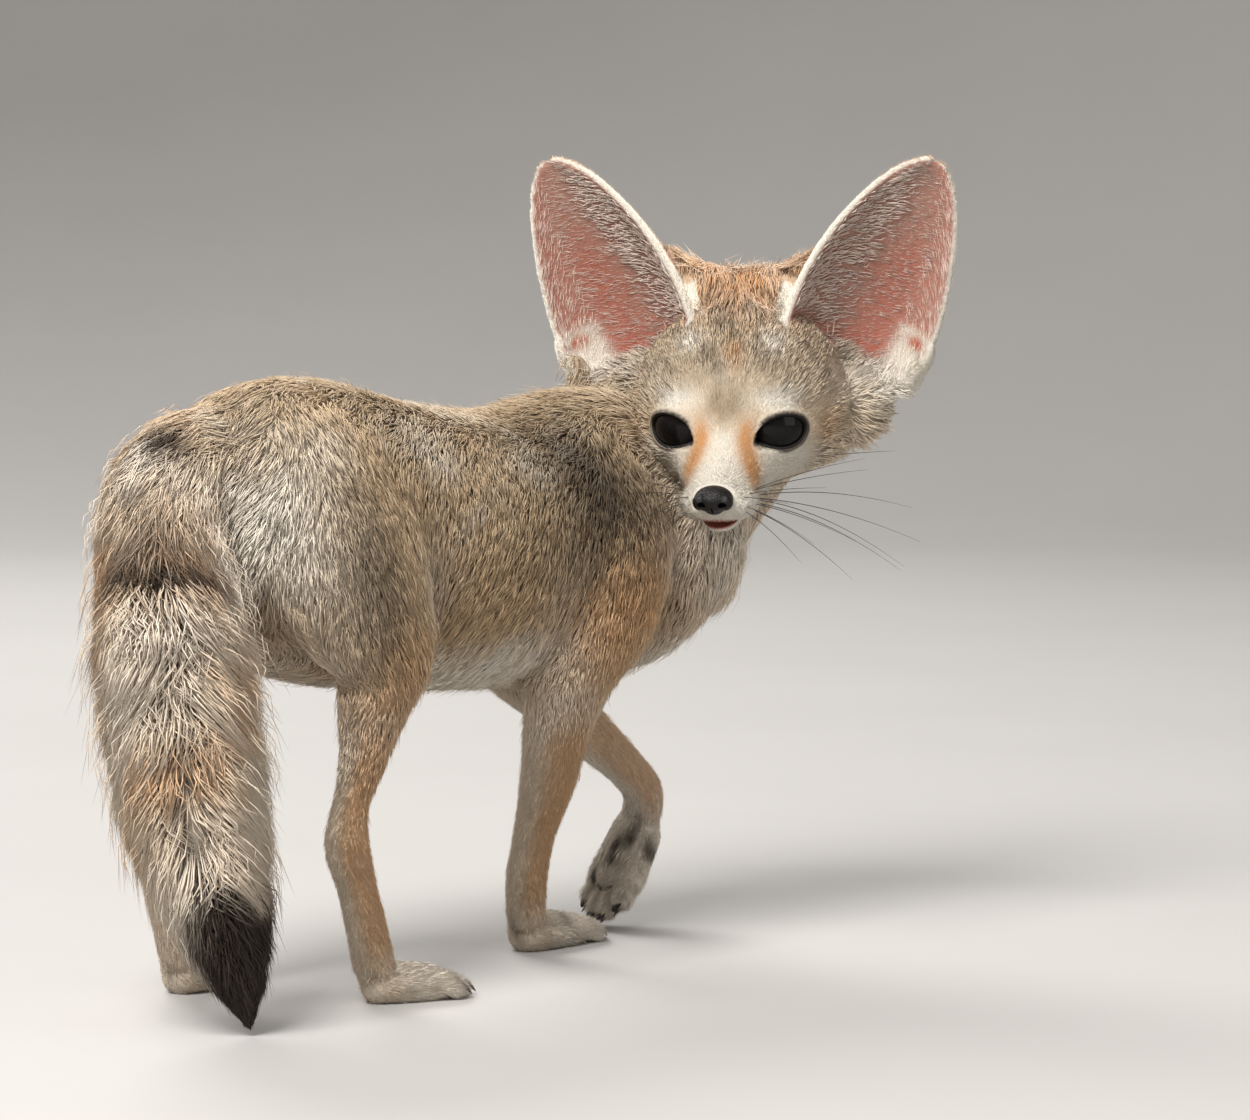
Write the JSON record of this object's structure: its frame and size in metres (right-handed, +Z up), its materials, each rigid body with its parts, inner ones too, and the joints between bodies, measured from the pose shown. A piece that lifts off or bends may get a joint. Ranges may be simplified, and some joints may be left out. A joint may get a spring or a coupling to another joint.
{
  "type": "fennec fox",
  "caption": "Life-size standing fennec fox, one fore paw raised, bushy tail hanging, big upright ears, head turned back over its right shoulder.",
  "frame": {"origin": "middle of the bounding box in plan, at floor level under the soles", "axes": "+X along the trunk towards the chest, +Y to the fox's own left, +Z up"},
  "size_m": [0.3168, 0.1576, 0.2722],
  "materials": {
    "coat": "soft sandy fur",
    "ear": "thin fur over pink skin",
    "nose": "moist black skin",
    "eye": "wet dark brown"
  },
  "bodies": {
    "root": {"head": "coat", "neck": "coat", "torso": "coat", "tail": "coat", "leg_fore_left": "coat", "leg_fore_right": "coat", "leg_hind_left": "coat", "leg_hind_right": "coat", "ear_left": "ear", "ear_right": "ear", "nose": "nose", "eye_left": "eye", "eye_right": "eye"}
  },
  "joints": []
}
